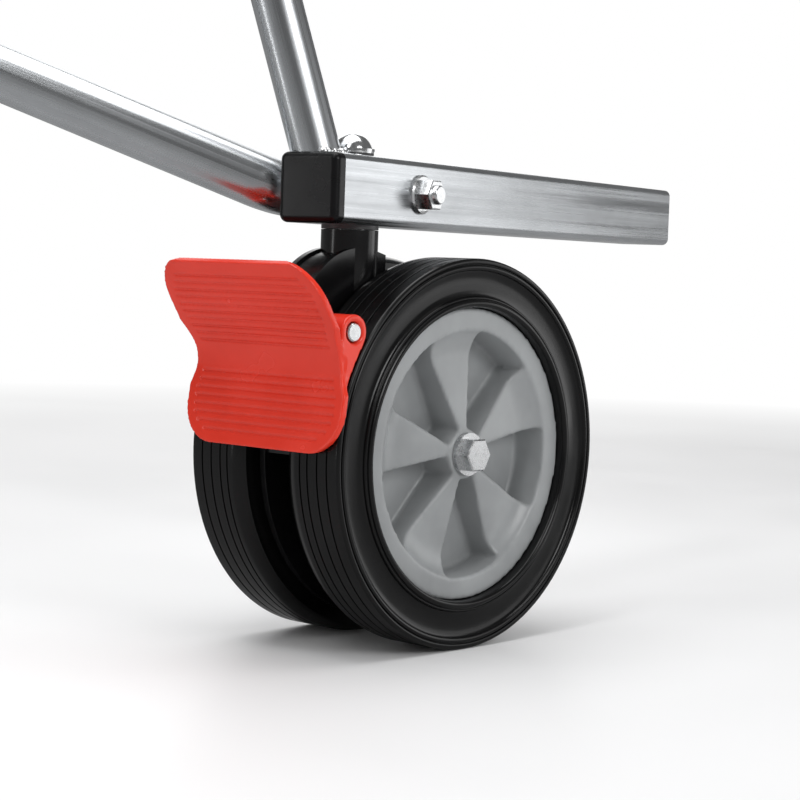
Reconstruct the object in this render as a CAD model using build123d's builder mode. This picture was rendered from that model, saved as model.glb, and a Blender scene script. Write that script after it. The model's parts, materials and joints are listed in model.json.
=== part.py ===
"""Braked twin-wheel swivel castor on the corner of a tube undercarriage.

Row frame: the origin is at the centre of the rail's open end, +X points out of that end
along the rail, and +Z is up. Lengths are in millimetres and angles in degrees.
The castor has a frame of its own: its origin is on the floor under the swivel stem,
+X points from the stem to the axle, and "near" is its -Y side.
"""

import os
from math import cos, pi, radians, sin, sqrt, tan

from build123d import *

# ---------------------------------------------------------------- driving dimensions

# square rail and its end plug
rail_width = 35.0
rail_wall = 2.0
rail_corner = 4.0
rail_reach = 345.0            # open end to the swivel stem
rail_overhang = 32.0          # swivel stem to the cut end
rail_height = 232.0           # floor to the rail's centreline
plug_head = 7.5
plug_edge = 3.6
plug_insert = 18.0
plug_wall = 2.5

# round tubes
tube_wall = 1.5
post_radius = 12.5
post_lean = 16.4              # from the vertical
post_length = 120.0
post_bearing = 164.2          # plan direction from the stem to the post's foot
post_gap = 0.1                # plan gap between the post and the cap's rim
post_foot_wall = 5.0          # closed end above the weld
stay_radius = 14.0
stay_rise = 20.5              # above the horizontal
stay_length = 165.0           # the round, straight stretch
stay_bend = 22.0
stay_flat = 5.0               # thickness of the pressed end
stay_flat_height = 30.0
stay_press = 24.0             # length over which the tube is pressed flat
tubes_heading = 121.9         # both tubes leave the rail in this plan direction

# bolt through the rail that holds the stay
stay_bolt_x = 39.0            # from the stem
bolt_radius = 5.0             # M10
bolt_flats = 16.0
bolt_head = 6.4
nut_height = 8.4
flange_nut_flats = 15.0
flange_nut_height = 10.0
flange_radius = 10.2
flange_thickness = 2.0
bolt_washer_radius = 11.0
bolt_washer = 2.0
crush_tube_radius = 7.5

# swivel
rest_swivel = -10.0           # castor heading at rest, from +X
stem_radius = 8.0
stem_bottom = 150.0           # above the floor, inside the housing
stem_above_rail = 5.5
bush_wall = 1.4
bush_length = 13.0
bush_flange = 1.5
pad_thickness = 2.0
sleeve_wall = 1.5
cap_overlap = 3.3             # rim beyond the stem's radius
cap_rim = 1.2
cap_height = 9.2
cap_wall = 0.8
stem_washer = 1.0

# wheels
wheel_radius = 100.0
trail = 43.0                  # swivel stem to axle
tyre_inner = 15.0             # from the castor's middle to the tyre's inner side
tyre_width = 36.0
rim_radius = 75.0
rim_recess = 4.0              # rim face below the tyre's outer side
ring_width = 11.5
barrel_wall = 5.0
spoke_count = 5
spoke_recess = 5.7            # lowest part of the spokes below the rim face
spoke_outer_width = 39.5
spoke_inner_width = 3.0
spoke_tilt = -45.0            # turns the first spoke from the horizontal
spoke_wall = 3.0
dish_radius = 48.0            # where the spokes start to curve up to the rim
core_start = 26.0             # radius where the spokes' hollow backs start
pocket_draft = 3.0
floor_depth = 19.5            # pocket floor below the rim face
floor_thickness = 3.0
boss_radius = 12.0
boss_step = 0.3               # boss below the rim face
boss_land = 0.8               # ring of web round the boss, inside the pockets
barrel_inset = 1.5            # barrel inside the tyre's inner side
hub_bush_wall = 2.0
hub_bush_length = 12.0
sleeve_radius = 7.0
groove_count = 4
groove_width = 0.9
groove_depth = 0.9
tread_edge = 5.0              # slope of the tread's inner shoulder
outer_edge = 1.2              # and of its outer one
bead_proud = 1.2              # bead beyond the tyre's outer side
band_depth = 2.5              # hollow band of the sidewall
shoulder = 3.5

# housing between the wheels
housing_half = 12.0
flange_plate = 3.5
drum_radius = 90.0
drum_floor = 72.0
drum_rib = 2.2
drum_rib_pitch = 15.0
head_centre = (-3.0, 160.4)
head_radius = 42.8
swivel_boss_radius = 14.6
swivel_boss_bottom = 130.0
axle_boss_radius = 20.0
axle_boss_half = 14.3
skin_drop = 1.3               # closed skin below the flanges' rims

# brake pedal
pin_radius = 4.5
pin_reach = 110.0             # axle to brake pin
pin_rise = 34.5               # direction from the axle to the pin, above the horizontal
pin_proud = 0.3
lug_radius = 7.0
pin_counterbore = 5.7
counterbore_depth = 1.0
pedal_half_width = 54.0
pedal_thickness = 3.5
pedal_bottom = 103.5          # above the floor
pedal_kink = 148.0
pedal_top = 193.5
pedal_lean = 32.8             # upper face from the vertical
pedal_tilt = 8.5              # lower face from the vertical, towards the tread
pedal_corner = 20.0
valley_radius = 24.0
waist_depth = 4.0             # pinch of each side at the kink
waist_span = 32.0
ear_outer = 50.5
ear_thickness = 5.0
ear_radius = 8.6
ear_foot = 112.0              # above the floor, where the ears run out into the plate
groove_pitch = 4.2
groove_cut = 1.5
groove_sink = 0.8
groove_border = 5.5
upper_groove_count = 11
lower_groove_count = 8

# clearances
running = 0.05                # radial, shaft in bore
seat = 0.02                   # radial, pressed or clamped pieces
face_gap = 0.3                # between faces that turn past each other
pedal_tyre_gap = 1.0          # pedal's back to the tread with the brake on
ear_tyre_gap = 1.2            # ears to the tread

# ---------------------------------------------------------------- derived places

os.makedirs("parts", exist_ok=True)

half_rail = rail_width / 2
stem_x = -rail_reach
castor = Plane(
    origin=(stem_x, 0, -rail_height),
    x_dir=(cos(radians(rest_swivel)), sin(radians(rest_swivel)), 0),
    z_dir=(0, 0, 1),
)
# drawing plane for side profiles: local x is the castor's +X, local y is up, normal is near
side = Plane(origin=castor.origin, x_dir=castor.x_dir, z_dir=castor.y_dir * -1)
axle_z = wheel_radius
axle_point = castor.from_local_coords(Vector(trail, 0, axle_z))
pin_x = trail - pin_reach * cos(radians(pin_rise))
pin_z = axle_z + pin_reach * sin(radians(pin_rise))
pin_half_length = ear_outer + pin_proud

tyre_outer = tyre_inner + tyre_width
rim_face = tyre_outer - rim_recess
hub_inner = axle_boss_half + face_gap
hub_outer = rim_face - boss_step
sleeve_outer = hub_outer + face_gap
washer_outer = sleeve_outer + bolt_washer
axle_head_start = washer_outer
barrel_inner = rim_radius - barrel_wall
hub_bore = sleeve_radius + running + hub_bush_wall

bush_outer_radius = stem_radius + running + bush_wall
cap_rim_radius = stem_radius + cap_overlap
sleeve_outer_radius = bush_outer_radius + seat + sleeve_wall
boss_top = rail_height - half_rail - pad_thickness - face_gap
upper_flange_top = half_rail + bush_flange
cap_bottom = upper_flange_top + stem_washer


def axle_cut(near):
    """Plane through the axle for turned wheel pieces: x outwards, y up."""
    turn = -1 if near else 1
    return Plane(origin=axle_point, x_dir=castor.y_dir * turn, z_dir=castor.x_dir * turn)


def hexagon(flats):
    """Hexagon with the given distance across its flats, in the current sketch."""
    RegularPolygon(radius=flats / 2, side_count=6, major_radius=False)


def save(piece, name):
    """Label the finished piece and write it as its own STEP file."""
    piece.part.label = name
    export_step(piece.part, f"parts/{name}.step")


# ---------------------------------------------------------------- rail and plug

rail_plane = Plane.YZ.offset(-(rail_reach + rail_overhang))
rail_length = rail_reach + rail_overhang

with BuildPart() as rail:
    with BuildSketch(rail_plane):
        RectangleRounded(rail_width, rail_width, rail_corner)
        inner = rail_width - 2 * rail_wall
        RectangleRounded(inner, inner, rail_corner - rail_wall, mode=Mode.SUBTRACT)
    extrude(amount=rail_length)
    with BuildSketch(Plane.XY.offset(-half_rail)):
        with Locations((stem_x, 0)):
            Circle(sleeve_outer_radius + seat)
    extrude(amount=rail_width, mode=Mode.SUBTRACT)
    with BuildSketch(Plane.XZ.offset(-half_rail)):
        with Locations((stem_x + stay_bolt_x, 0)):
            Circle(bolt_radius + 0.5)
    extrude(amount=rail_width, mode=Mode.SUBTRACT)
save(rail, "rail")

plug_slack = 0.1
with BuildPart() as rail_plug:
    with BuildSketch(rail_plane):
        RectangleRounded(rail_width, rail_width, rail_corner)
    extrude(amount=-plug_head)
    fillet(rail_plug.faces().sort_by(Axis.X)[0].edges(), plug_edge)
    insert_width = rail_width - 2 * (rail_wall + plug_slack)
    with BuildSketch(rail_plane):
        RectangleRounded(insert_width, insert_width, rail_corner - rail_wall)
        hollow = insert_width - 2 * plug_wall
        Rectangle(hollow, hollow, mode=Mode.SUBTRACT)
    extrude(amount=plug_insert)
save(rail_plug, "rail_plug")

# ---------------------------------------------------------------- post

heading = Vector(cos(radians(tubes_heading)), sin(radians(tubes_heading)), 0)
post_axis = heading * sin(radians(post_lean)) + Vector(0, 0, cos(radians(post_lean)))
post_distance = post_radius + cap_rim_radius + post_gap
post_base = Vector(
    stem_x + post_distance * cos(radians(post_bearing)),
    post_distance * sin(radians(post_bearing)),
    half_rail,
)
post_sink = post_radius * tan(radians(post_lean)) + 1

with BuildPart() as post:
    with BuildSketch(Plane(origin=post_base - post_axis * post_sink, z_dir=post_axis)):
        Circle(post_radius)
    extrude(amount=post_length + post_sink)
    with BuildSketch(Plane(origin=post_base + post_axis * post_foot_wall, z_dir=post_axis)):
        Circle(post_radius - tube_wall)
    extrude(amount=post_length, mode=Mode.SUBTRACT)
    split(bisect_by=Plane.XY.offset(half_rail), keep=Keep.TOP)
save(post, "post")

# ---------------------------------------------------------------- stay

stay_axis = heading * cos(radians(stay_rise)) + Vector(0, 0, sin(radians(stay_rise)))
stay_y = half_rail + stay_radius + 0.5
corner_shift = (35.8 - stay_y) / heading.Y
stay_corner = Vector(stem_x - 22.3 - corner_shift * heading.X, stay_y, 0)
stay_turn = radians(stay_axis.get_angle(Vector(-1, 0, 0)))
bend_tangent = stay_bend * tan(stay_turn / 2)
press_start = stay_corner.X + bend_tangent + 1
flat_start = press_start + stay_press
flat_end = stem_x + stay_bolt_x + stay_flat_height / 2
flat_y = half_rail + stay_flat / 2
stay_far = stay_corner + stay_axis * (stay_length + bend_tangent)

with BuildPart() as stay:
    with BuildLine():
        FilletPolyline(stay_far, stay_corner, Vector(press_start, stay_y, 0), radius=stay_bend)
    with BuildSketch(Plane(origin=stay_far, z_dir=stay_axis * -1)):
        Circle(stay_radius)
        Circle(stay_radius - tube_wall, mode=Mode.SUBTRACT)
    sweep()
    with BuildSketch(Plane.YZ.offset(press_start)):
        with Locations((stay_y, 0)):
            Circle(stay_radius)
    with BuildSketch(Plane.YZ.offset(flat_start)):
        with Locations((flat_y, 0)):
            Ellipse(stay_flat / 2, stay_flat_height / 2)
    loft()
    with BuildSketch(Plane.XZ.offset(-half_rail)):
        with Locations((flat_start - 4, 0)):
            Rectangle(
                flat_end - stay_flat_height / 2 - flat_start + 4,
                stay_flat_height,
                align=(Align.MIN, Align.CENTER),
            )
        with Locations((flat_end - stay_flat_height / 2, 0)):
            Circle(stay_flat_height / 2)
    extrude(amount=-stay_flat)
    with BuildSketch(Plane.XZ.offset(-half_rail)):
        with Locations((stem_x + stay_bolt_x, 0)):
            Circle(bolt_radius + 0.5)
    extrude(amount=-stay_flat, mode=Mode.SUBTRACT)
save(stay, "stay")

# ---------------------------------------------------------------- bolt through the rail

# drawing planes whose normal runs to the far side, +Y
far_face = Plane(origin=(stem_x + stay_bolt_x, half_rail, 0), x_dir=(-1, 0, 0), z_dir=(0, 1, 0))
near_face = Plane(origin=(stem_x + stay_bolt_x, -half_rail, 0), x_dir=(1, 0, 0), z_dir=(0, -1, 0))
grip = rail_width + stay_flat + bolt_washer

with BuildPart() as stay_washer:
    with BuildSketch(far_face.offset(stay_flat)):
        Circle(bolt_washer_radius)
        Circle(bolt_radius + 0.4, mode=Mode.SUBTRACT)
    extrude(amount=bolt_washer)
save(stay_washer, "stay_washer")

with BuildPart() as stay_bolt:
    with BuildSketch(far_face.offset(stay_flat + bolt_washer)):
        hexagon(bolt_flats)
    extrude(amount=bolt_head)
    chamfer(stay_bolt.faces().sort_by(Axis.Y)[-1].edges(), 0.6)
    with BuildSketch(far_face.offset(stay_flat + bolt_washer)):
        Circle(bolt_radius)
    extrude(amount=-(grip + flange_nut_height + 2.5))
    chamfer(stay_bolt.faces().sort_by(Axis.Y)[0].edges(), 0.8)
save(stay_bolt, "stay_bolt")

with BuildPart() as stay_nut:
    with BuildSketch(near_face):
        Circle(flange_radius)
    extrude(amount=flange_thickness)
    chamfer(stay_nut.faces().sort_by(Axis.Y)[0].edges(), 0.8)
    with BuildSketch(near_face):
        hexagon(flange_nut_flats)
    extrude(amount=flange_nut_height)
    chamfer(stay_nut.faces().sort_by(Axis.Y)[0].edges(), 0.7)
    with BuildSketch(near_face):
        Circle(bolt_radius + seat)
    extrude(amount=flange_nut_height, mode=Mode.SUBTRACT)
save(stay_nut, "stay_nut")

with BuildPart() as crush_tube:
    crush_length = rail_width - 2 * rail_wall - 0.2
    with BuildSketch(near_face.offset(-rail_wall - 0.1)):
        Circle(crush_tube_radius)
        Circle(bolt_radius + 0.3, mode=Mode.SUBTRACT)
    extrude(amount=-crush_length)
save(crush_tube, "crush_tube")

# ---------------------------------------------------------------- swivel bearing in the rail

stem_plane = Plane(origin=(stem_x, 0, 0))

with BuildPart() as bearing_tube:
    with BuildSketch(stem_plane.offset(-half_rail)):
        Circle(sleeve_outer_radius)
        Circle(bush_outer_radius + seat, mode=Mode.SUBTRACT)
    extrude(amount=rail_width)
save(bearing_tube, "bearing_tube")


def bearing_bush(up, flange_radius_out, flange_height):
    """Flanged bush pressed into the bearing tube from above (up=1) or below (up=-1)."""
    mouth = Plane(origin=(stem_x, 0, up * half_rail), z_dir=(0, 0, up))
    with BuildPart() as bush:
        with BuildSketch(mouth):
            Circle(flange_radius_out)
        extrude(amount=flange_height)
        with BuildSketch(mouth):
            Circle(bush_outer_radius)
        extrude(amount=-bush_length)
        with BuildSketch(mouth.offset(-bush_length)):
            Circle(stem_radius + running)
        extrude(amount=bush_length + flange_height, mode=Mode.SUBTRACT)
    return bush


upper_bush = bearing_bush(1, sleeve_outer_radius, bush_flange)
save(upper_bush, "upper_bush")
lower_bush = bearing_bush(-1, swivel_boss_radius, pad_thickness)
save(lower_bush, "lower_bush")

# ---------------------------------------------------------------- castor housing

stem_top = half_rail + stem_above_rail + rail_height


def housing_outline(drop):
    """Side outline: drum round the axle, drawn up to the swivel head in front."""
    with Locations(head_centre):
        Circle(head_radius - drop)
    with Locations((trail, axle_z)):
        Circle(drum_radius - drop)
    make_hull()
    back_cut = 3 * head_radius
    with Locations((swivel_boss_radius, axle_z)):
        Rectangle(back_cut, back_cut, align=(Align.MIN, Align.MIN), mode=Mode.SUBTRACT)
    with Locations((trail, axle_z)):
        Circle(drum_radius - drop)


def drum_spokes(angles, inner_radius, outer_radius, thickness):
    """Radial bars round the axle, in the current sketch."""
    for angle in angles:
        middle = (inner_radius + outer_radius) / 2
        spot = (trail + middle * cos(radians(angle)), axle_z + middle * sin(radians(angle)))
        with Locations(Location((spot[0], spot[1], 0), (0, 0, angle))):
            Rectangle(outer_radius - inner_radius, thickness)


inner_half = housing_half - flange_plate
rib_angles = [168 + drum_rib_pitch * step for step in range(20)]

with BuildPart() as castor_housing:
    with BuildSketch(side.offset(-inner_half)):
        housing_outline(skin_drop)
    extrude(amount=2 * inner_half)
    for start in (inner_half, -housing_half):
        with BuildSketch(side.offset(start)):
            housing_outline(0)
        extrude(amount=flange_plate)
    # open channel between the two flanges, all round the drum except under the head
    with BuildSketch(side.offset(-inner_half)):
        with Locations((trail, axle_z)):
            Circle(drum_radius + 5)
            Circle(drum_floor, mode=Mode.SUBTRACT)
        with Locations((trail, axle_z)):
            Rectangle(
                2 * drum_radius + 20,
                drum_radius + 10,
                align=(Align.MAX, Align.MIN),
                mode=Mode.SUBTRACT,
            )
        drum_spokes(rib_angles, drum_floor - 1, drum_radius - 1.5, drum_rib)
    extrude(amount=2 * inner_half, mode=Mode.SUBTRACT)
    with BuildSketch(castor.offset(swivel_boss_bottom)):
        Circle(swivel_boss_radius)
    extrude(amount=boss_top - swivel_boss_bottom)
    with BuildSketch(side.offset(-axle_boss_half)):
        with Locations((trail, axle_z)):
            Circle(axle_boss_radius)
    extrude(amount=2 * axle_boss_half)
    with BuildSketch(side.offset(-housing_half)):
        with Locations((pin_x, pin_z)):
            Circle(lug_radius)
    extrude(amount=2 * housing_half)
    with BuildSketch(castor.offset(stem_bottom)):
        Circle(stem_radius + seat)
    extrude(amount=boss_top, mode=Mode.SUBTRACT)
    with BuildSketch(side.offset(-axle_boss_half)):
        with Locations((trail, axle_z)):
            Circle(bolt_radius + running)
        with Locations((pin_x, pin_z)):
            Circle(pin_radius + seat)
    extrude(amount=2 * axle_boss_half, mode=Mode.SUBTRACT)
save(castor_housing, "castor_housing")

with BuildPart() as castor_stem:
    with BuildSketch(castor.offset(stem_bottom)):
        Circle(stem_radius)
    extrude(amount=stem_top - stem_bottom)
    chamfer(castor_stem.faces().sort_by(Axis.Z)[-1].edges(), 1.0)
save(castor_stem, "castor_stem")

with BuildPart() as stem_ring:
    with BuildSketch(stem_plane.offset(upper_flange_top + seat)):
        Circle(sleeve_outer_radius)
        Circle(stem_radius + 0.2, mode=Mode.SUBTRACT)
    extrude(amount=stem_washer - seat)
save(stem_ring, "stem_ring")

with BuildPart() as stem_cap:
    dome_radius = cap_rim_radius - 1.3
    rise = cap_height - cap_rim
    ball = (dome_radius**2 + rise**2) / (2 * rise)
    with BuildSketch(Plane(origin=(stem_x, 0, cap_bottom), x_dir=(1, 0, 0), z_dir=(0, -1, 0))):
        with BuildLine():
            Polyline((0, cap_height), (0, 0), (cap_rim_radius, 0), (cap_rim_radius, cap_rim))
            Line((cap_rim_radius, cap_rim), (dome_radius, cap_rim))
            RadiusArc((dome_radius, cap_rim), (0, cap_height), -ball)
        make_face()
        with BuildLine():
            inner_rise = rise - cap_wall
            inner_reach = dome_radius - cap_wall
            inner_ball = (inner_reach**2 + inner_rise**2) / (2 * inner_rise)
            Polyline((0, cap_height - cap_wall), (0, cap_rim), (inner_reach, cap_rim))
            RadiusArc((inner_reach, cap_rim), (0, cap_height - cap_wall), -inner_ball)
        make_face(mode=Mode.SUBTRACT)
        Rectangle(stem_radius + seat, cap_rim, align=(Align.MIN, Align.MIN), mode=Mode.SUBTRACT)
    revolve(axis=Axis((stem_x, 0, 0), (0, 0, 1)))
save(stem_cap, "stem_cap")

# ---------------------------------------------------------------- axle

with BuildPart() as axle_bolt:
    with BuildSketch(side.offset(axle_head_start)):
        with Locations((trail, axle_z)):
            hexagon(bolt_flats)
    extrude(amount=bolt_head)
    chamfer(axle_bolt.faces().sort_by(Axis(axle_point, side.z_dir))[-1].edges(), 0.6)
    with BuildSketch(side.offset(axle_head_start)):
        with Locations((trail, axle_z)):
            Circle(bolt_radius)
    extrude(amount=-(2 * axle_head_start + nut_height + 2.5))
save(axle_bolt, "axle_bolt")

with BuildPart() as axle_nut:
    with BuildSketch(side.offset(-axle_head_start)):
        with Locations((trail, axle_z)):
            hexagon(bolt_flats)
            Circle(bolt_radius + seat, mode=Mode.SUBTRACT)
    extrude(amount=-nut_height)
save(axle_nut, "axle_nut")

with BuildPart() as axle_washers:
    for start in (sleeve_outer, -washer_outer):
        with BuildSketch(side.offset(start)):
            with Locations((trail, axle_z)):
                Circle(bolt_washer_radius)
                Circle(bolt_radius + 0.3, mode=Mode.SUBTRACT)
        extrude(amount=bolt_washer)
save(axle_washers, "axle_washers")

with BuildPart() as wheel_sleeves:
    for start in (axle_boss_half, -sleeve_outer):
        with BuildSketch(side.offset(start)):
            with Locations((trail, axle_z)):
                Circle(sleeve_radius)
                Circle(bolt_radius + running, mode=Mode.SUBTRACT)
        extrude(amount=sleeve_outer - axle_boss_half)
save(wheel_sleeves, "wheel_sleeves")

# ---------------------------------------------------------------- wheels

spoke_face = rim_face - spoke_recess
floor_top = rim_face - floor_depth
pocket_outer = rim_radius - ring_width
pocket_inner = boss_radius + boss_land


def spoke_outlines(start, end, shrink, mode):
    """All spokes' outlines between two radii, in the current sketch."""
    reach = pocket_outer + 3 - (boss_radius - 3)
    spread = (spoke_outer_width - spoke_inner_width) / 2 / reach
    near_half = spoke_inner_width / 2 + spread * (start - boss_radius + 3) - shrink
    far_half = spoke_inner_width / 2 + spread * (end - boss_radius + 3) - shrink
    corners = [(start, -near_half), (end, -far_half), (end, far_half), (start, near_half)]
    with PolarLocations(0, spoke_count, start_angle=spoke_tilt):
        Polygon(*corners, align=None, mode=mode)


def wheel_tyre(near):
    """Solid rubber tyre with a grooved tread, moulded shoulders and a bead at the rim."""
    bore = rim_radius + 0.1
    with BuildPart() as tyre:
        with BuildSketch(axle_cut(near)):
            with BuildLine():
                Polyline(
                    (tyre_inner, bore),
                    (tyre_outer - 1, bore),
                    (tyre_outer + bead_proud, bore + 1),
                    (tyre_outer + bead_proud, bore + 3),
                    (tyre_outer - band_depth, bore + 5.5),
                    (tyre_outer - band_depth, wheel_radius - 9),
                    (tyre_outer, wheel_radius - 6),
                    (tyre_outer, wheel_radius - outer_edge),
                    (tyre_outer - outer_edge, wheel_radius),
                    (tyre_inner + tread_edge, wheel_radius),
                    (tyre_inner, wheel_radius - shoulder),
                    close=True,
                )
            make_face()
            pitch = (tyre_width - tread_edge - outer_edge) / (groove_count + 1)
            first = tyre_inner + tread_edge + pitch
            spots = [(first + pitch * step, wheel_radius) for step in range(groove_count)]
            with Locations(*spots):
                Rectangle(groove_width, 2 * groove_depth, mode=Mode.SUBTRACT)
        revolve(axis=Axis(axle_point, castor.y_dir))
    return tyre


def wheel_hub(near):
    """Moulded hub: barrel, face ring, boss, and wedge spokes between open pockets."""
    cut = axle_cut(near)
    front = Plane(origin=axle_point, x_dir=castor.x_dir, z_dir=cut.x_dir)
    floor_back = floor_top - floor_thickness
    with BuildPart() as hub:
        with BuildSketch(cut):
            dish_top = (rim_face - 1, pocket_outer - 0.6)
            dish_middle = (rim_face - spoke_recess * 0.7, dish_radius + (pocket_outer - dish_radius) * 0.7)
            dish_low = (spoke_face, dish_radius)
            with BuildLine():
                ThreePointArc(dish_top, dish_middle, dish_low)
                Polyline(dish_low, (hub_outer - 0.6, boss_radius + 0.8), (hub_outer, boss_radius))
                Polyline(
                    (hub_outer, boss_radius),
                    (hub_outer, hub_bore),
                    (hub_inner, hub_bore),
                    (hub_inner, boss_radius),
                    (floor_back, boss_radius),
                    (floor_back, barrel_inner),
                    (tyre_inner + barrel_inset, barrel_inner),
                    (tyre_inner + barrel_inset, rim_radius),
                    (rim_face, rim_radius),
                    (rim_face, pocket_outer),
                    dish_top,
                )
            make_face()
        revolve(axis=Axis(axle_point, castor.y_dir))
        with BuildSketch(front.offset(rim_face)):
            Circle(pocket_outer)
            Circle(pocket_inner, mode=Mode.SUBTRACT)
            spoke_outlines(boss_radius - 3, pocket_outer + 3, 0, Mode.SUBTRACT)
        extrude(amount=-floor_depth, taper=pocket_draft, mode=Mode.SUBTRACT)
        with BuildSketch(front.offset(floor_back)):
            spoke_outlines(core_start, dish_radius + 6, spoke_wall, Mode.ADD)
        extrude(amount=spoke_face - spoke_wall - floor_back, mode=Mode.SUBTRACT)
    return hub


def hub_bushes(near):
    """The two plain bushes pressed into one hub's bore."""
    with BuildPart() as bushes:
        with BuildSketch(axle_cut(near)):
            for start in (hub_inner, hub_outer - hub_bush_length):
                with Locations((start, sleeve_radius + running)):
                    Rectangle(hub_bush_length, hub_bush_wall - seat, align=(Align.MIN, Align.MIN))
        revolve(axis=Axis(axle_point, castor.y_dir))
    return bushes


for near in (True, False):
    which = "near" if near else "far"
    save(wheel_tyre(near), f"tyre_{which}")
    save(wheel_hub(near), f"hub_{which}")
    save(hub_bushes(near), f"hub_bushes_{which}")

# ---------------------------------------------------------------- brake

with BuildPart() as brake_pin:
    with BuildSketch(side.offset(-pin_half_length)):
        with Locations((pin_x, pin_z)):
            Circle(pin_radius)
    extrude(amount=2 * pin_half_length)
    ends = brake_pin.faces().sort_by(Axis(axle_point, castor.y_dir))
    chamfer(ends[0].edges() + ends[-1].edges(), 0.6)
save(brake_pin, "brake_pin")

lean = radians(pedal_lean)
lobe_length = (pedal_top - pedal_kink) / cos(lean)
pedal_front = trail - wheel_radius - pedal_tyre_gap - pedal_thickness
tilt = radians(pedal_tilt)
pedal_fold = pedal_front + (pedal_kink - pedal_bottom) * tan(tilt)
lobe_end = (pedal_fold - lobe_length * sin(lean), pedal_top)
half_bend = (lean + tilt) / 2
inner_ear = axle_boss_half + 1
ear_starts = (
    ear_outer - ear_thickness,
    inner_ear,
    -inner_ear - ear_thickness,
    -ear_outer,
)


def groove_spots(first, last, turn, count):
    """Evenly pitched groove centres on a straight face between two points."""
    length = sqrt((last[0] - first[0]) ** 2 + (last[1] - first[1]) ** 2)
    start = (length - groove_pitch * (count - 1)) / 2
    along = [(start + groove_pitch * step) / length for step in range(count)]
    spots = []
    for share in along:
        spot = (first[0] + (last[0] - first[0]) * share, first[1] + (last[1] - first[1]) * share, 0)
        spots.append(Location(spot, (0, 0, turn)))
    return spots


def pedal_outline(inset):
    """Front outline of both kick faces, drawn in by a border, in the current sketch."""
    height = pedal_top + 2 - pedal_bottom
    with Locations((0, pedal_bottom + height / 2)):
        RectangleRounded(2 * (pedal_half_width - inset), height - 2 * inset, pedal_corner - inset)
    bite = (waist_span**2 / 4 + waist_depth**2) / (2 * waist_depth)
    with Locations(
        (pedal_half_width - waist_depth + bite, pedal_kink),
        (-pedal_half_width + waist_depth - bite, pedal_kink),
    ):
        Circle(bite + inset, mode=Mode.SUBTRACT)


pedal_view = Plane(origin=castor.origin, x_dir=castor.y_dir * -1, z_dir=castor.x_dir * -1)
pedal_reach = trail + wheel_radius

with BuildPart() as pedal_grooves:
    with BuildSketch(side.offset(-pedal_half_width)):
        bend_reach = valley_radius * tan(half_bend)
        lower_end = (pedal_fold - bend_reach * sin(tilt), pedal_kink - bend_reach * cos(tilt))
        upper_start = (pedal_fold - bend_reach * sin(lean), pedal_kink + bend_reach * cos(lean))
        foot_rise = groove_border + groove_cut
        foot_start = (pedal_front + foot_rise * sin(tilt), pedal_bottom + foot_rise * cos(tilt))
        lobe_start = (lobe_end[0] + groove_border * sin(lean), lobe_end[1] - groove_border * cos(lean))
        with Locations(*groove_spots(foot_start, lower_end, -pedal_tilt, lower_groove_count)):
            Rectangle(2 * groove_sink, groove_cut)
        with Locations(*groove_spots(upper_start, lobe_start, pedal_lean, upper_groove_count)):
            Rectangle(2 * groove_sink, groove_cut)
    extrude(amount=2 * pedal_half_width)
    with BuildSketch(pedal_view):
        pedal_outline(groove_border)
    extrude(amount=pedal_reach, mode=Mode.INTERSECT)

with BuildPart() as brake_pedal:
    # plate: straight lower face, kink, and upper face leaning out
    with BuildSketch(side.offset(-pedal_half_width)):
        top_out = (pedal_thickness * cos(lean), pedal_thickness * sin(lean))
        foot_out = (pedal_thickness * cos(tilt), -pedal_thickness * sin(tilt))
        fold_reach = pedal_thickness / cos(half_bend)
        fold_back = (
            pedal_fold + fold_reach * cos(half_bend - tilt),
            pedal_kink + fold_reach * sin(half_bend - tilt),
        )
        foot = (pedal_front, pedal_bottom)
        foot_back = (foot[0] + foot_out[0], foot[1] + foot_out[1])
        lobe_back = (lobe_end[0] + top_out[0], lobe_end[1] + top_out[1])
        with BuildLine():
            FilletPolyline(foot, (pedal_fold, pedal_kink), lobe_end, radius=valley_radius)
            FilletPolyline(foot_back, fold_back, lobe_back, radius=valley_radius - pedal_thickness)
            Line(foot, foot_back)
            Line(lobe_end, lobe_back)
        make_face()
    extrude(amount=2 * pedal_half_width)
    # front outline: rounded corners and a pinched waist
    with BuildSketch(pedal_view):
        pedal_outline(0)
    extrude(amount=pedal_reach, mode=Mode.INTERSECT)
    add(pedal_grooves.part, mode=Mode.SUBTRACT)
    # ears that carry the pin, clear of the tread
    for start in ear_starts:
        with BuildSketch(side.offset(start)):
            with Locations((pin_x, pin_z)):
                Circle(ear_radius)
            Polygon(
                (pin_x - ear_radius, pin_z),
                (pin_x - ear_radius, pedal_kink + 4),
                (fold_back[0] - 1, pedal_kink + 1),
                (foot_back[0] + (ear_foot - pedal_bottom) * tan(tilt) - 1, ear_foot),
                (foot_back[0] + (ear_foot - pedal_bottom) * tan(tilt) + 1, ear_foot),
                (pin_x + ear_radius, pin_z),
                align=None,
            )
            with Locations((trail, axle_z)):
                Circle(wheel_radius + ear_tyre_gap, mode=Mode.SUBTRACT)
        extrude(amount=ear_thickness)
    # barrels round the pin, one over each wheel
    for start in (inner_ear, -ear_outer):
        with BuildSketch(side.offset(start)):
            with Locations((pin_x, pin_z)):
                Circle(ear_radius)
        extrude(amount=ear_outer - inner_ear)
    with BuildSketch(side.offset(-pin_half_length)):
        with Locations((pin_x, pin_z)):
            Circle(pin_radius + running)
    extrude(amount=2 * pin_half_length, mode=Mode.SUBTRACT)
    for start in (ear_outer - counterbore_depth, -ear_outer):
        with BuildSketch(side.offset(start)):
            with Locations((pin_x, pin_z)):
                Circle(pin_counterbore)
        extrude(amount=counterbore_depth, mode=Mode.SUBTRACT)
save(brake_pedal, "brake_pedal")
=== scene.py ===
"""Looks of the braked twin-wheel castor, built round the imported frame. Lengths are in metres."""

import json
from math import atan2, cos, pi, radians, sin, sqrt

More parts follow.
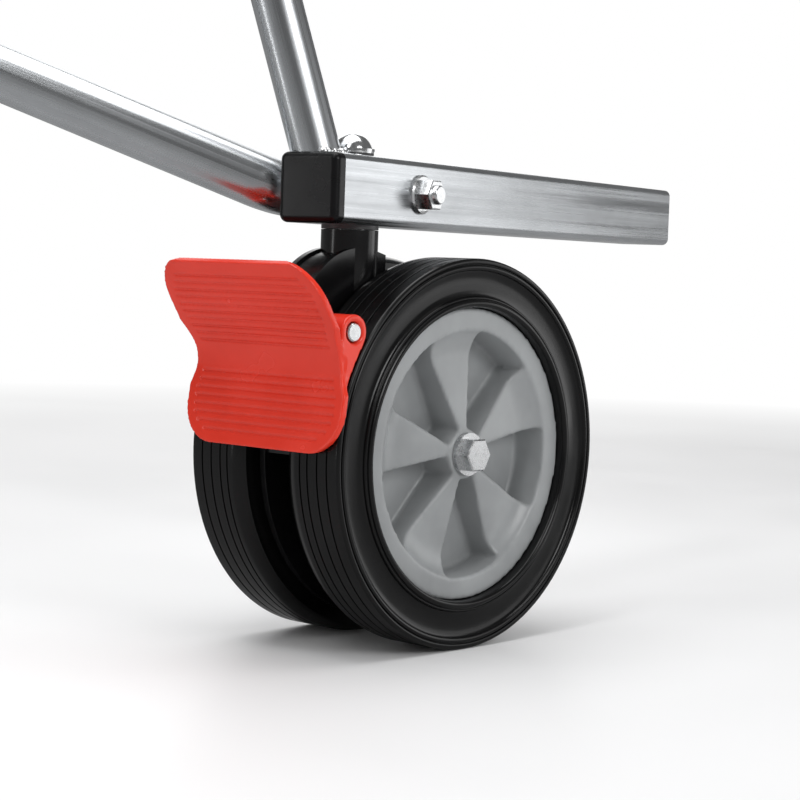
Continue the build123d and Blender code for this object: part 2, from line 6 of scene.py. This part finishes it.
import bmesh
import bpy
from mathutils import Matrix, Vector


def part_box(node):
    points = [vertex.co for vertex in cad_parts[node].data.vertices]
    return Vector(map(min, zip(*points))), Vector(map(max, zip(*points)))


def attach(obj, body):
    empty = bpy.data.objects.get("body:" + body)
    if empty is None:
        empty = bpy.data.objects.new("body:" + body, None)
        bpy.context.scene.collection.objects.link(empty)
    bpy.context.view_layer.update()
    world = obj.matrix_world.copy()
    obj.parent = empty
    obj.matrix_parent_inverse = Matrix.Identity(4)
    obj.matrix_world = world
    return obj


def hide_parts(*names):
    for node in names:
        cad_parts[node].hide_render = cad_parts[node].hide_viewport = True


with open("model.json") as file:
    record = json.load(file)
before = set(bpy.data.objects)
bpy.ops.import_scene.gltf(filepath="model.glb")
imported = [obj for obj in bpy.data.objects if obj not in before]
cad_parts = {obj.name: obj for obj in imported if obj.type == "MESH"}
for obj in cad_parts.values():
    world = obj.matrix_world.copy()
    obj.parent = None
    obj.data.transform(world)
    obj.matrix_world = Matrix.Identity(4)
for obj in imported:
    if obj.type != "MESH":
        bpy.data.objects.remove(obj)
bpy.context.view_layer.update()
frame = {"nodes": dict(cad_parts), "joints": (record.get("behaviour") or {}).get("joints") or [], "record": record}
nodes = frame["nodes"]
scene = bpy.context.scene
MM = 0.001

# ---------------------------------------------------------------- camera

EYE = Vector((-1.2389, -0.5891, -0.0388))
HEADING = radians(-58.14)
PITCH_DOWN = 0.0622
ROLL = 0.035
LENS = 94.5
SENSOR = 36.0

camera_data = bpy.data.cameras.new("camera")
camera_data.lens = LENS
camera_data.sensor_width = SENSOR
camera_data.clip_end = 50.0
camera = bpy.data.objects.new("camera", camera_data)
scene.collection.objects.link(camera)
turn = Matrix.Rotation(HEADING, 4, "Z") @ Matrix.Rotation(pi / 2 - PITCH_DOWN, 4, "X")
camera.matrix_world = Matrix.Translation(EYE) @ turn @ Matrix.Rotation(ROLL, 4, "Z")
scene.camera = camera

# ---------------------------------------------------------------- places read from the frame

joint = {j["name"]: j for j in frame["joints"]}
mount = {m["name"]: m for m in frame["record"]["mounts"]}
STEM = Vector(joint["swivel"]["pos_m"])
AXLE = Vector(joint["wheel_near_spin"]["pos_m"])
ACROSS = Vector(joint["wheel_near_spin"]["axis"]).normalized()  # from the near wheel to the far one
UP = Vector((0, 0, 1))
PIN = Vector(joint["brake"]["pos_m"])
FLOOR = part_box("tyre_near")[0].z

# ---------------------------------------------------------------- materials


class Surface:
    """A Principled material that is put together step by step."""

    def __init__(self, name, color, roughness, metallic=0.0):
        self.material = bpy.data.materials.new(name)
        self.material.use_nodes = True
        self.tree = self.material.node_tree
        self.shader = self.tree.nodes["Principled BSDF"]
        self.shader.inputs["Base Color"].default_value = (*color, 1)
        self.shader.inputs["Roughness"].default_value = roughness
        self.shader.inputs["Metallic"].default_value = metallic
        self.normal = None

    def add(self, kind, **values):
        node = self.tree.nodes.new(kind)
        for key, value in values.items():
            if key in node.inputs:
                node.inputs[key].default_value = value
            else:
                setattr(node, key, value)
        return node

    def link(self, out, into):
        self.tree.links.new(out, into)

    def place(self, scale=(1, 1, 1), turn=(0, 0, 0)):
        """Object coordinates, turned first and then stretched."""
        where = self.add("ShaderNodeTexCoord")
        turned_round = self.add("ShaderNodeMapping")
        turned_round.inputs["Rotation"].default_value = turn
        stretched = self.add("ShaderNodeMapping")
        stretched.inputs["Scale"].default_value = scale
        self.link(where.outputs["Object"], turned_round.inputs["Vector"])
        self.link(turned_round.outputs["Vector"], stretched.inputs["Vector"])
        return stretched.outputs["Vector"]

    def noise(self, place, scale, detail=4.0, rough=0.55):
        node = self.add("ShaderNodeTexNoise", Scale=scale, Detail=detail, Roughness=rough)
        self.link(place, node.inputs["Vector"])
        return node.outputs["Fac"]

    def spread(self, value, low, high, start=0.3, end=0.7):
        node = self.add("ShaderNodeMapRange")
        node.inputs["From Min"].default_value = start
        node.inputs["From Max"].default_value = end
        node.inputs["To Min"].default_value = low
        node.inputs["To Max"].default_value = high
        self.link(value, node.inputs["Value"])
        return node.outputs["Result"]

    def tint(self, value, low, high, start=0.3, end=0.7):
        node = self.add("ShaderNodeValToRGB")
        node.color_ramp.elements[0].position = start
        node.color_ramp.elements[1].position = end
        node.color_ramp.elements[0].color = (*low, 1)
        node.color_ramp.elements[1].color = (*high, 1)
        self.link(value, node.inputs["Fac"])
        self.link(node.outputs["Color"], self.shader.inputs["Base Color"])

    def rough(self, value):
        self.link(value, self.shader.inputs["Roughness"])

    def bump(self, value, strength, distance):
        node = self.add("ShaderNodeBump", Strength=strength, Distance=distance)
        self.link(value, node.inputs["Height"])
        if self.normal:
            self.link(self.normal, node.inputs["Normal"])
        self.normal = node.outputs["Normal"]
        self.link(self.normal, self.shader.inputs["Normal"])


def galvanised(name, along, tone=1.0):
    """Zinc-coated tube: drawn lines along it, soft cloudy zinc, and fine scratches."""
    base = (0.60 * tone, 0.62 * tone, 0.64 * tone)
    metal = Surface(name, base, 0.3, 1.0)
    spin_z = atan2(along.y, along.x)
    spin_y = -atan2(along.z, sqrt(along.x**2 + along.y**2))
    turn = Matrix.Rotation(-spin_y, 3, "Y") @ Matrix.Rotation(-spin_z, 3, "Z")
    angles = turn.to_euler()
    lines = metal.noise(metal.place((3, 300, 300), angles), 1.0, 5.0, 0.65)
    bands = metal.noise(metal.place((1.5, 90, 90), angles), 1.0, 3.0, 0.5)
    cloud = metal.noise(metal.place((14, 40, 40), angles), 1.0, 5.0, 0.6)
    scratch = metal.noise(metal.place((60, 1400, 1400), angles), 1.0, 2.0)
    blend = metal.add("ShaderNodeMix", data_type="FLOAT")
    blend.inputs["Factor"].default_value = 0.6
    metal.link(cloud, blend.inputs["A"])
    metal.link(bands, blend.inputs["B"])
    metal.tint(blend.outputs["Result"], [c * 0.66 for c in base], [min(1, c * 1.18) for c in base])
    metal.rough(metal.spread(lines, 0.16, 0.4))
    metal.bump(lines, 0.12, 0.0002)
    metal.bump(scratch, 0.06, 0.00006)
    return metal.material


def plated(name, color, low, high, grain=400):
    """Bright plated steel of a small fastener."""
    metal = Surface(name, color, (low + high) / 2, 1.0)
    place = metal.place()
    cloud = metal.noise(place, grain, 3.0)
    metal.tint(cloud, [c * 0.9 for c in color], color)
    metal.rough(metal.spread(cloud, low, high))
    metal.bump(metal.noise(place, grain * 6, 2.0), 0.06, 0.00003)
    return metal.material


def moulded(name, color, low, high, grain=900, depth=0.00003, patch=30, change=0.12, gloss=0.5):
    """Injection-moulded plastic: fine skin, slow gloss changes and a little colour drift."""
    skin = Surface(name, color, (low + high) / 2)
    skin.shader.inputs["Specular IOR Level"].default_value = gloss
    place = skin.place()
    slow = skin.noise(place, patch, 3.0)
    fine = skin.noise(place, grain, 2.0)
    skin.tint(slow, [c * (1 - change) for c in color], [min(1, c * (1 + change)) for c in color])
    skin.rough(skin.spread(slow, low, high))
    skin.bump(fine, 0.3, depth)
    return skin


def assign(thing, material):
    thing.data.materials.clear()
    thing.data.materials.append(material)


rail_metal = galvanised("galvanised_rail", Vector((1, 0, 0)))
post_axis = Vector(mount["post_end"]["axis"])
stay_axis = Vector(mount["stay_end"]["axis"])
post_metal = galvanised("galvanised_post", post_axis)
stay_metal = galvanised("galvanised_stay", stay_axis)
zinc = plated("zinc_plate", (0.76, 0.77, 0.78), 0.2, 0.34)
cap_metal = plated("cap_plate", (0.72, 0.73, 0.74), 0.1, 0.22)
plug_plastic = moulded("plug_plastic", (0.004, 0.004, 0.0045), 0.2, 0.3, gloss=0.2).material
housing_plastic = moulded("housing_plastic", (0.004, 0.004, 0.0044), 0.14, 0.26, gloss=0.45).material
hub_plastic = moulded("hub_plastic", (0.27, 0.28, 0.285), 0.3, 0.42).material
pedal_plastic = moulded("pedal_plastic", (0.68, 0.032, 0.014), 0.16, 0.28, change=0.06).material
rubber = moulded("tyre_rubber", (0.003, 0.003, 0.0032), 0.14, 0.26, 500, 0.00004, 40, gloss=0.3).material
bearing_plastic = moulded("bearing_plastic", (0.03, 0.03, 0.032), 0.35, 0.5).material

finishes = {
    "rail": rail_metal,
    "post": post_metal,
    "stay": stay_metal,
    "bearing_tube": rail_metal,
    "rail_plug": plug_plastic,
    "castor_housing": housing_plastic,
    "brake_pedal": pedal_plastic,
    "stem_cap": cap_metal,
    "lower_bush": bearing_plastic,
    "upper_bush": bearing_plastic,
}
for which in ("near", "far"):
    finishes["tyre_" + which] = rubber
    finishes["hub_" + which] = hub_plastic
    finishes["hub_bushes_" + which] = bearing_plastic
for name, node in nodes.items():
    assign(node, finishes.get(name, zinc))

# ---------------------------------------------------------------- making pieces


MERGE_REACH = 0.000002  # corners of the CAD triangles closer than this are one
SEAM_REACH = 0.000001  # and where a spun shape meets itself
FLAT_TURN = radians(0.5)  # triangles that turn less than this are one face
MOULDED_EDGE = 28  # degrees of turn that count as an edge on a moulding
MACHINED_EDGE = 25  # and on a fastener
TYRE_EDGE = 38  # and on a tyre


def finish_piece(shape, name, body, material, stands_for=()):
    """Turn a bmesh into an object of the model that rides on a body."""
    mesh = bpy.data.meshes.new(name)
    shape.to_mesh(mesh)
    shape.free()
    for face in mesh.polygons:
        face.use_smooth = True
    piece = bpy.data.objects.new(name, mesh)
    scene.collection.objects.link(piece)
    assign(piece, material)
    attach(piece, body)
    if stands_for:
        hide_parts(*stands_for)
    return piece


def round_edges(piece, width, segments, sharp):
    """Round every edge sharper than an angle, and shade the flats flat."""
    bevel = piece.modifiers.new("rounded", "BEVEL")
    bevel.width = width
    bevel.segments = segments
    bevel.limit_method = "ANGLE"
    bevel.angle_limit = radians(sharp)
    bevel.use_clamp_overlap = True
    weighted = piece.modifiers.new("flats", "WEIGHTED_NORMAL")
    weighted.keep_sharp = True
    return piece


def own_shape(name, body, material):
    """A CAD node's own shape as a new piece, with its loose triangles joined."""
    shape = bmesh.new()
    shape.from_mesh(nodes[name].data)
    bmesh.ops.remove_doubles(shape, verts=shape.verts, dist=MERGE_REACH)
    bmesh.ops.dissolve_limit(shape, angle_limit=FLAT_TURN, verts=shape.verts, edges=shape.edges)
    return finish_piece(shape, name + "_shape", body, material, [name])


def softened(name, body, material, width, segments):
    """A CAD node's own shape with its edges rounded."""
    return round_edges(own_shape(name, body, material), width, segments, MOULDED_EDGE)


def ease_bore(piece, centre, axis, reach, room):
    """Widen the bore round an axis, for points that lie within its reach."""
    for vertex in piece.data.vertices:
        offset = vertex.co - centre
        radial = offset - axis * offset.dot(axis)
        if radial.length < reach:
            vertex.co += radial.normalized() * room


def moulded_shape(name, body, material, grain, passes):
    """A CAD node's own shape with every edge and corner melted a little, as a moulding has."""
    piece = own_shape(name, body, material)
    even = piece.modifiers.new("even_mesh", "REMESH")
    even.mode = "VOXEL"
    even.voxel_size = grain
    even.use_smooth_shade = True
    melt = piece.modifiers.new("melted_edges", "SMOOTH")
    melt.factor = 0.5
    melt.iterations = passes
    return piece


def crisp(name, body, material):
    """A CAD node's own shape, smooth where it is round and sharp at its edges."""
    piece = own_shape(name, body, material)
    piece.data.set_sharp_from_angle(angle=radians(MACHINED_EDGE))
    return piece


def turned(profile, centre, axis, outward, steps):
    """Spin a closed profile of (distance outwards, radius) points in mm round an axis."""
    shape = bmesh.new()
    ring = [shape.verts.new(centre + outward * (x * MM) + UP * (r * MM)) for x, r in profile]
    edges = [shape.edges.new((ring[i - 1], ring[i])) for i in range(len(ring))]
    bmesh.ops.spin(
        shape, geom=ring + edges, cent=centre, axis=axis, angle=2 * pi, steps=steps, use_merge=True
    )
    bmesh.ops.remove_doubles(shape, verts=shape.verts, dist=SEAM_REACH)
    bmesh.ops.recalc_face_normals(shape, faces=shape.faces)
    return shape


# ---------------------------------------------------------------- tyres and hubs

# the tyre's section is in millimetres
WHEEL_RADIUS = 100.0
GROOVE_FLOOR = 99.1
GROOVE_MOUTH = 0.45
GROOVE_BOTTOM = 0.35
TREAD_GROOVES = (25.5, 30.5, 37.0, 43.5)
TYRE_STEPS = 144
TYRE_ROUNDING = 0.22 * MM
HUB_GRAIN = 0.95 * MM
HUB_PASSES = 8

tread = []
for middle in TREAD_GROOVES:
    tread += [
        (middle - GROOVE_MOUTH, WHEEL_RADIUS),
        (middle - GROOVE_BOTTOM, GROOVE_FLOOR),
        (middle + GROOVE_BOTTOM, GROOVE_FLOOR),
        (middle + GROOVE_MOUTH, WHEEL_RADIUS),
    ]
# distance from the castor's middle and radius, round the section: inner side and tread,
# outer shoulder, sidewall rib, hollow band, second rib, and the bead at the rim
TYRE_PROFILE = (
    [(15.0, 75.1), (15.0, 96.0), (15.4, 96.9), (16.6, 97.9), (19.0, 99.1), (21.4, 99.8), (22.6, 100.0)]
    + tread
    + [(49.6, 100.0), (50.4, 99.8), (50.9, 99.2), (51.0, 98.2), (50.8, 97.4), (49.9, 97.1)]
    + [(49.9, 96.7), (50.8, 96.5), (51.1, 95.9), (51.1, 95.2), (50.8, 94.4), (49.9, 94.0)]
    + [(49.3, 93.5), (48.9, 92.4), (48.5, 90.0), (48.4, 87.0), (48.5, 84.0), (48.9, 81.8)]
    + [(49.5, 80.9), (50.4, 80.7), (51.0, 80.3), (51.1, 79.7), (50.7, 79.3), (50.7, 79.0)]
    + [(51.6, 78.8), (52.1, 78.0), (52.2, 77.0), (51.9, 76.1), (51.1, 75.5), (49.8, 75.2), (48.0, 75.1)]
)
for which, outward in (("near", -ACROSS), ("far", ACROSS)):
    shape = turned(TYRE_PROFILE, AXLE, ACROSS, outward, TYRE_STEPS)
    tyre = finish_piece(
        shape, "tyre_tread_" + which, "wheel_" + which, rubber, ["tyre_" + which]
    )
    round_edges(tyre, TYRE_ROUNDING, 2, TYRE_EDGE)
    hub = "hub_" + which
    moulded_shape(hub, "wheel_" + which, hub_plastic, HUB_GRAIN, HUB_PASSES)

# ---------------------------------------------------------------- moulded and pressed parts

PEDAL_GRAIN = 0.55 * MM
PEDAL_PASSES = 4
PIN_BORE_REACH = 4.8 * MM
PIN_BORE_ROOM = 0.4 * MM  # keeps the smoothed bore off the pin

pedal = moulded_shape("brake_pedal", "pedal", pedal_plastic, PEDAL_GRAIN, PEDAL_PASSES)
ease_bore(pedal, PIN, ACROSS, PIN_BORE_REACH, PIN_BORE_ROOM)
softened("castor_housing", "castor", housing_plastic, 0.6 * MM, 3)
softened("rail_plug", "frame", plug_plastic, 0.5 * MM, 2)
for fastener in ("axle_bolt", "axle_nut", "axle_washers"):
    crisp(fastener, "castor", zinc)
for fastener in ("stay_bolt", "stay_nut"):
    crisp(fastener, "frame", zinc)

# ---------------------------------------------------------------- weld at the post's foot

post_top = Vector(mount["post_end"]["pos_m"])
rail_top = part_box("rail")[1].z
foot = post_top - post_axis * ((post_top.z - rail_top) / post_axis.z)
lean_way = Vector((post_axis.x, post_axis.y, 0)).normalized()
lean_side = UP.cross(lean_way)
rail_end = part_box("rail")[0].x
rail_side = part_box("rail")[1].y

POST_RADIUS = 12.5 * MM
WELD_BEADS = 40
WELD_SIZE = 2.3 * MM
WELD_SQUASH = (1.15, 1.15, 0.8)
WELD_RISE = 0.6 * MM
END_MARGIN = 1.0 * MM  # no bead hangs over the rail's cut end
SIDE_MARGIN = 3.0 * MM  # or over its side

weld = bmesh.new()
for step in range(WELD_BEADS):
    angle = 2 * pi * step / WELD_BEADS
    along = lean_way * (cos(angle) * POST_RADIUS / post_axis.z)
    spot = foot + along + lean_side * (sin(angle) * POST_RADIUS)
    if spot.x < rail_end + END_MARGIN or spot.y > rail_side - SIDE_MARGIN:
        continue
    size = WELD_SIZE + (0.4 * sin(7 * angle) + 0.3 * cos(13 * angle)) * MM
    ball = bmesh.ops.create_icosphere(weld, subdivisions=2, radius=size)
    bmesh.ops.scale(weld, verts=ball["verts"], vec=WELD_SQUASH)
    bmesh.ops.translate(weld, verts=ball["verts"], vec=spot + UP * WELD_RISE)
finish_piece(weld, "post_weld", "frame", zinc)

# ---------------------------------------------------------------- floor and light


def stage_plane(name, middle, size, material):
    """A flat square of floor or card."""
    shape = bmesh.new()
    bmesh.ops.create_grid(shape, x_segments=1, y_segments=1, size=size / 2)
    bmesh.ops.translate(shape, verts=shape.verts, vec=middle)
    mesh = bpy.data.meshes.new(name)
    shape.to_mesh(mesh)
    shape.free()
    plane = bpy.data.objects.new(name, mesh)
    scene.collection.objects.link(plane)
    assign(plane, material)
    return plane


def floor_material():
    """Pale studio floor that fades into the white surround."""
    paint = Surface("floor_paint", (0.80, 0.80, 0.805), 0.5)
    cloud = paint.noise(paint.place(), 3.0, 4.0)
    paint.rough(paint.spread(cloud, 0.4, 0.6))
    where = paint.add("ShaderNodeTexCoord")
    distance = paint.add("ShaderNodeVectorMath", operation="LENGTH")
    paint.link(where.outputs["Object"], distance.inputs[0])
    fade = paint.spread(distance.outputs["Value"], 0.0, 1.0, FADE_START, FADE_END)
    glow = paint.add("ShaderNodeEmission", Strength=1.0)
    blend = paint.add("ShaderNodeMixShader")
    paint.link(fade, blend.inputs["Fac"])
    paint.link(paint.shader.outputs["BSDF"], blend.inputs[1])
    paint.link(glow.outputs["Emission"], blend.inputs[2])
    path = paint.add("ShaderNodeLightPath")
    dim = paint.add("ShaderNodeMath", operation="MULTIPLY")
    dim.inputs[1].default_value = MIRRORED_DIM
    paint.link(path.outputs["Is Glossy Ray"], dim.inputs[0])
    shaded = paint.add("ShaderNodeMixShader")
    dark = paint.add("ShaderNodeBsdfDiffuse", Color=(0.02, 0.02, 0.02, 1))
    paint.link(dim.outputs["Value"], shaded.inputs["Fac"])
    paint.link(blend.outputs["Shader"], shaded.inputs[1])
    paint.link(dark.outputs["BSDF"], shaded.inputs[2])
    paint.link(shaded.outputs["Shader"], paint.tree.nodes["Material Output"].inputs["Surface"])
    return paint.material


MIRRORED_DIM = 0.6  # how much darker the floor is in reflections
FADE_START = 0.7  # metres from the corner where the floor starts to turn white
FADE_END = 2.0
FLOOR_SIZE = 30
FLOOR_DROP = 0.2 * MM  # keeps the floor from cutting the tread
stage_plane("floor", (0, 0, FLOOR - FLOOR_DROP), FLOOR_SIZE, floor_material())


def soft_light(name, place, target, size, power, color=(1, 1, 1), tall=None):
    """A rectangular softbox aimed at a point."""
    data = bpy.data.lights.new(name, "AREA")
    data.shape = "RECTANGLE"
    data.size = size
    data.size_y = tall or size
    data.energy = power
    data.color = color
    lamp = bpy.data.objects.new(name, data)
    scene.collection.objects.link(lamp)
    lamp.location = place
    lamp.rotation_euler = (Vector(target) - Vector(place)).to_track_quat("-Z", "Y").to_euler()
    return lamp


def studio_world(seen, soft, mirrored):
    """A white surround with its own strength for the view, for soft light and for reflections."""
    world = bpy.data.worlds.new("studio")
    world.use_nodes = True
    tree = world.node_tree
    path = tree.nodes.new("ShaderNodeLightPath")
    shade = tree.nodes["Background"]
    shade.inputs["Strength"].default_value = soft
    for ray, strength in (("Is Glossy Ray", mirrored), ("Is Camera Ray", seen)):
        other = tree.nodes.new("ShaderNodeBackground")
        other.inputs["Color"].default_value = (1, 1, 1, 1)
        other.inputs["Strength"].default_value = strength
        both = tree.nodes.new("ShaderNodeMixShader")
        tree.links.new(path.outputs[ray], both.inputs["Fac"])
        tree.links.new(shade.outputs[0], both.inputs[1])
        tree.links.new(other.outputs["Background"], both.inputs[2])
        shade = both
    tree.nodes["Background"].inputs["Color"].default_value = (1, 1, 1, 1)
    tree.links.new(shade.outputs[0], tree.nodes["World Output"].inputs["Surface"])
    return world


scene.world = studio_world(seen=1.0, soft=0.42, mirrored=0.16)
AIM = (-0.33, 0, -0.1)
soft_light("softbox_top", (-0.3, 0.1, 1.3), AIM, 1.3, 15)
soft_light("strip_left", (-1.35, 0.75, 0.35), AIM, 0.12, 2.4, tall=1.4)
soft_light("strip_high", (-1.1, -0.1, 0.9), AIM, 0.2, 3, tall=0.9)
soft_light("softbox_rail", (0.93, -0.98, 0.1), (-0.33, 0, 0), 0.55, 2.1, tall=0.7)
soft_light("softbox_hub", (0.5, -1.25, -0.02), (-0.3, -0.05, -0.13), 0.4, 0.6)
soft_light("softbox_front", (-0.75, -1.9, 0.8), AIM, 0.8, 15)
soft_light("softbox_behind", (1.1, 1.2, 0.9), AIM, 1.4, 9)
scene.view_settings.view_transform = "Standard"
